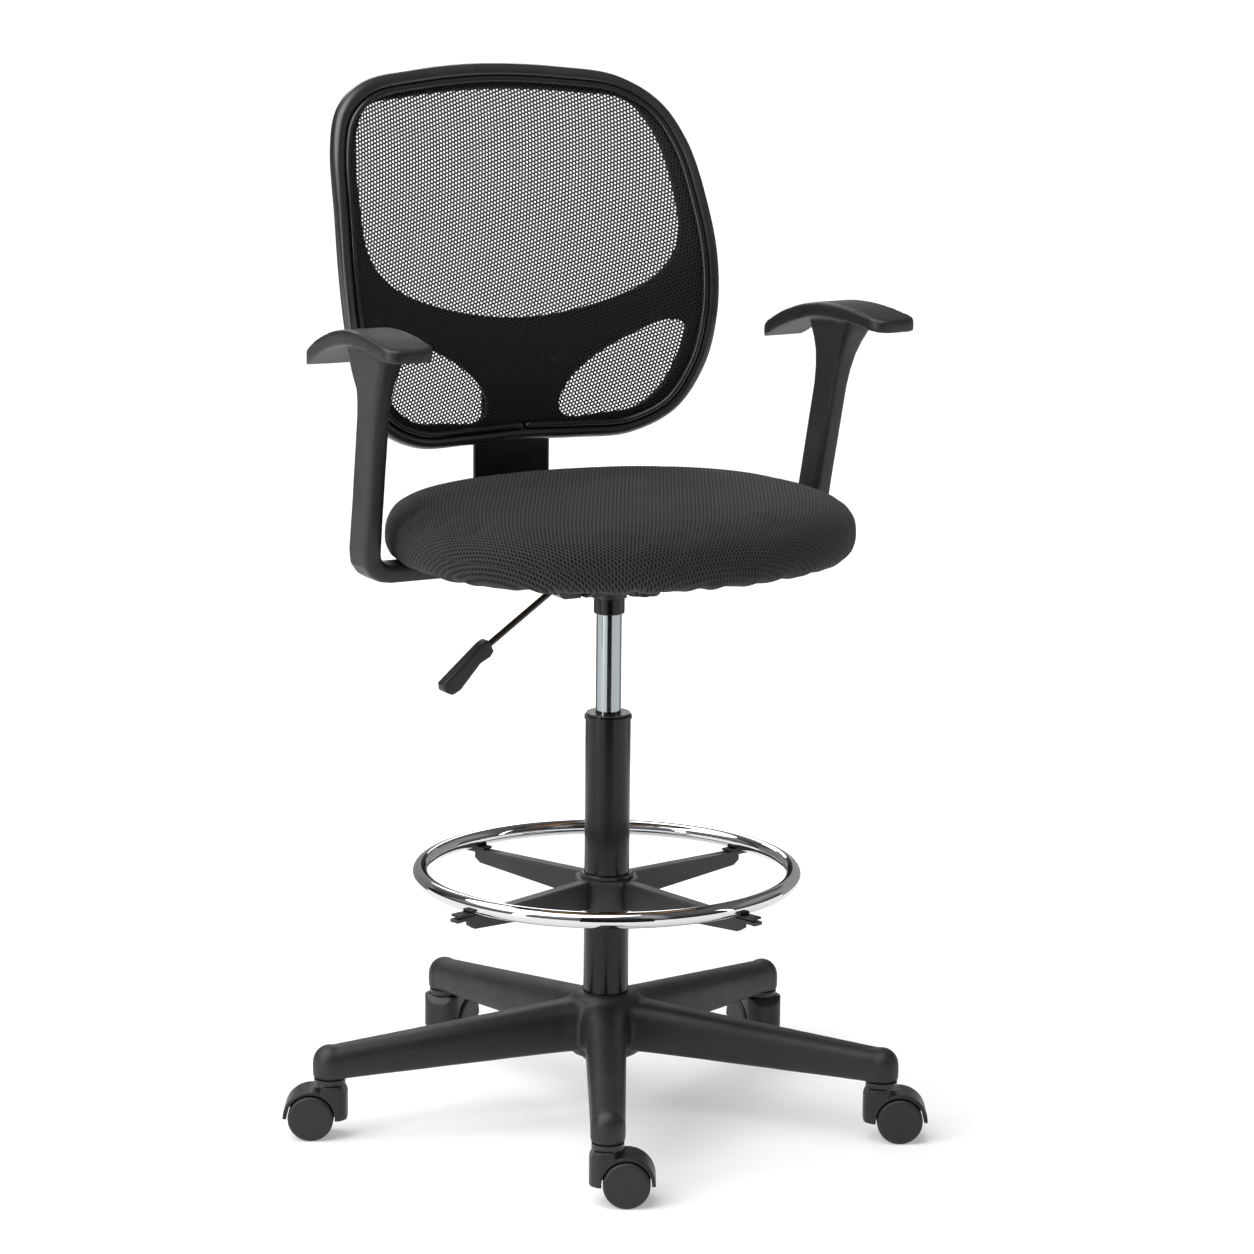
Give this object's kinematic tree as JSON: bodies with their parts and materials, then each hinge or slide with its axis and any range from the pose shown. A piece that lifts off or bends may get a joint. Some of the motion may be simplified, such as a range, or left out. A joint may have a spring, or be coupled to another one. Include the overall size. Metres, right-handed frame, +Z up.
{
  "type": "drafting chair",
  "caption": "Tall office chair with mesh back and seat, fixed T-arms, gas lift, foot ring and five-star base on twin-wheel casters.",
  "frame": {"origin": "on the column's axis at floor level", "axes": "+Z up along the column; the sitter faces -Y; +X is the sitter's left"},
  "size_m": [0.6902, 0.6828, 1.1455],
  "materials": {
    "base_nylon": "moulded black nylon, fine grain",
    "column_black_paint": "black powder coat, satin gloss",
    "bush_black_plastic": "smooth black acetal",
    "plain_steel": "zinc plated",
    "axle_steel": "ground bright steel",
    "gas_cylinder_zinc": "zinc plated, satin",
    "seal_rubber": "black rubber",
    "caster_nylon": "black nylon, low gloss",
    "caster_wheel_nylon": "black nylon, fine grain",
    "ring_chrome": "polished chrome plate",
    "spider_nylon": "black glass-filled nylon",
    "pressed_steel_black": "black powder coat",
    "spring_steel": "oiled spring steel",
    "lever_plastic": "black moulded plastic",
    "lever_rod_paint": "black painted wire",
    "seat_mesh_fabric": "black spacer mesh over foam",
    "plywood": "raw plywood",
    "arm_plastic": "black polypropylene, satin grain",
    "back_plastic": "black polypropylene",
    "back_mesh_fabric": "black open-weave mesh"
  },
  "bodies": {
    "base": {"five_star_base": "base_nylon", "column_outer_tube": "column_black_paint", "tube_guide_bush": "bush_black_plastic", "column_foot_plate": "plain_steel", "thrust_bearing": "plain_steel", "caster_stems": "plain_steel", "caster_collars": "caster_nylon"},
    "seat_swivel": {"piston_rod": "axle_steel", "rod_clip": "plain_steel"},
    "seat_lift": {"gas_cylinder": "gas_cylinder_zinc", "rod_guide_seal": "seal_rubber", "column_collar": "bush_black_plastic", "mechanism_box": "pressed_steel_black", "tilt_axle": "plain_steel", "lever_pivot_block": "lever_plastic", "lever_pivot_pin": "plain_steel", "tension_spring": "spring_steel"},
    "valve": {"valve_button": "plain_steel"},
    "release_lever": {"release_lever_rod": "lever_rod_paint", "lever_paddle": "lever_plastic"},
    "tilting_seat": {"tilt_plate": "pressed_steel_black", "seat_bolts": "plain_steel", "tension_bolt": "plain_steel", "seat_cushion": "seat_mesh_fabric", "seat_board": "plywood", "arm_left": "arm_plastic", "arm_right": "arm_plastic", "arm_bolts": "plain_steel", "back_bracket": "pressed_steel_black", "bracket_bolts": "plain_steel", "back_shell": "back_plastic", "back_trim": "back_plastic", "back_mesh": "back_mesh_fabric", "back_screws": "plain_steel"},
    "tension_knob": {"tension_knob": "lever_plastic"},
    "foot_ring": {"foot_ring": "ring_chrome", "ring_spider": "spider_nylon", "ring_lock_collar": "spider_nylon", "ring_clips": "spider_nylon", "ring_screws": "plain_steel"},
    "caster_1": {"caster_hood_1": "caster_nylon", "caster_axle_1": "axle_steel"},
    "caster_1_wheel_a": {"caster_wheel_1a": "caster_wheel_nylon"},
    "caster_1_wheel_b": {"caster_wheel_1b": "caster_wheel_nylon"},
    "caster_2": {"caster_hood_2": "caster_nylon", "caster_axle_2": "axle_steel"},
    "caster_2_wheel_a": {"caster_wheel_2a": "caster_wheel_nylon"},
    "caster_2_wheel_b": {"caster_wheel_2b": "caster_wheel_nylon"},
    "caster_3": {"caster_hood_3": "caster_nylon", "caster_axle_3": "axle_steel"},
    "caster_3_wheel_a": {"caster_wheel_3a": "caster_wheel_nylon"},
    "caster_3_wheel_b": {"caster_wheel_3b": "caster_wheel_nylon"},
    "caster_4": {"caster_hood_4": "caster_nylon", "caster_axle_4": "axle_steel"},
    "caster_4_wheel_a": {"caster_wheel_4a": "caster_wheel_nylon"},
    "caster_4_wheel_b": {"caster_wheel_4b": "caster_wheel_nylon"},
    "caster_5": {"caster_hood_5": "caster_nylon", "caster_axle_5": "axle_steel"},
    "caster_5_wheel_a": {"caster_wheel_5a": "caster_wheel_nylon"},
    "caster_5_wheel_b": {"caster_wheel_5b": "caster_wheel_nylon"}
  },
  "joints": [
    {"name": "seat_swivel", "type": "hinge", "parent": "base", "child": "seat_swivel", "pos_m": [0, 0, 0.07], "axis": [0, 0, 1], "continuous": true},
    {"name": "seat_lift", "type": "slide", "parent": "seat_swivel", "child": "seat_lift", "axis": [0, 0, 1], "range_m": [-0.1, 0.1]},
    {"name": "release_lever_press", "type": "hinge", "parent": "seat_lift", "child": "release_lever", "pos_m": [-0.055, 0, 0.6075], "axis": [0, 1, 0], "range_deg": [0, 3.6], "stiffness_Nm_per_rad": 2, "springref_deg": -8.59},
    {"name": "valve_press", "type": "slide", "parent": "seat_lift", "child": "valve", "axis": [0, 0, 1], "range_m": [-0.0038, 0]},
    {"name": "seat_tilt", "type": "hinge", "parent": "seat_lift", "child": "tilting_seat", "pos_m": [0, -0.035, 0.614], "axis": [-1, 0, 0], "range_deg": [0, 12], "stiffness_Nm_per_rad": 160, "springref_deg": -11.46, "deforming": ["tension_spring"]},
    {"name": "tension_knob_turn", "type": "hinge", "parent": "tilting_seat", "child": "tension_knob", "pos_m": [0, -0.072, 0.605], "axis": [0, 0, 1], "continuous": true},
    {"name": "foot_ring_height", "type": "slide", "parent": "base", "child": "foot_ring", "axis": [0, 0, 1], "range_m": [-0.085, 0.16]},
    {"name": "caster_1_swivel", "type": "hinge", "parent": "base", "child": "caster_1", "pos_m": [-0.1532, -0.27752, 0.05], "axis": [0, 0, 1], "continuous": true},
    {"name": "caster_1_wheel_a_roll", "type": "hinge", "parent": "caster_1", "child": "caster_1_wheel_a", "pos_m": [-0.13583, -0.28743, 0.025], "axis": [-0.4955, -0.8686, 0], "continuous": true},
    {"name": "caster_1_wheel_b_roll", "type": "hinge", "parent": "caster_1", "child": "caster_1_wheel_b", "pos_m": [-0.13583, -0.28743, 0.025], "axis": [-0.4955, -0.8686, 0], "continuous": true},
    {"name": "caster_2_swivel", "type": "hinge", "parent": "base", "child": "caster_2", "pos_m": [0.2166, -0.23146, 0.05], "axis": [0, 0, 1], "continuous": true},
    {"name": "caster_2_wheel_a_roll", "type": "hinge", "parent": "caster_2", "child": "caster_2_wheel_a", "pos_m": [0.23397, -0.24137, 0.025], "axis": [-0.4955, -0.8686, 0], "continuous": true},
    {"name": "caster_2_wheel_b_roll", "type": "hinge", "parent": "caster_2", "child": "caster_2_wheel_b", "pos_m": [0.23397, -0.24137, 0.025], "axis": [-0.4955, -0.8686, 0], "continuous": true},
    {"name": "caster_3_swivel", "type": "hinge", "parent": "base", "child": "caster_3", "pos_m": [0.28707, 0.13447, 0.05], "axis": [0, 0, 1], "continuous": true},
    {"name": "caster_3_wheel_a_roll", "type": "hinge", "parent": "caster_3", "child": "caster_3_wheel_a", "pos_m": [0.28881, 0.1544, 0.025], "axis": [0.9962, -0.0872, 0], "continuous": true},
    {"name": "caster_3_wheel_b_roll", "type": "hinge", "parent": "caster_3", "child": "caster_3_wheel_b", "pos_m": [0.28881, 0.1544, 0.025], "axis": [0.9962, -0.0872, 0], "continuous": true},
    {"name": "caster_4_swivel", "type": "hinge", "parent": "base", "child": "caster_4", "pos_m": [-0.03918, 0.31457, 0.05], "axis": [0, 0, 1], "continuous": true},
    {"name": "caster_4_wheel_a_roll", "type": "hinge", "parent": "caster_4", "child": "caster_4_wheel_a", "pos_m": [-0.023, 0.32632, 0.025], "axis": [0.5878, -0.809, 0], "continuous": true},
    {"name": "caster_4_wheel_b_roll", "type": "hinge", "parent": "caster_4", "child": "caster_4_wheel_b", "pos_m": [-0.023, 0.32632, 0.025], "axis": [0.5878, -0.809, 0], "continuous": true},
    {"name": "caster_5_swivel", "type": "hinge", "parent": "base", "child": "caster_5", "pos_m": [-0.31128, 0.05994, 0.05], "axis": [0, 0, 1], "continuous": true},
    {"name": "caster_5_wheel_a_roll", "type": "hinge", "parent": "caster_5", "child": "caster_5_wheel_a", "pos_m": [-0.32865, 0.06985, 0.025], "axis": [0.4955, 0.8686, 0], "continuous": true},
    {"name": "caster_5_wheel_b_roll", "type": "hinge", "parent": "caster_5", "child": "caster_5_wheel_b", "pos_m": [-0.32865, 0.06985, 0.025], "axis": [0.4955, 0.8686, 0], "continuous": true}
  ],
  "couplings": [
    {"joint": "valve_press", "follows": "release_lever_press", "m_per_rad": -0.058}
  ]
}
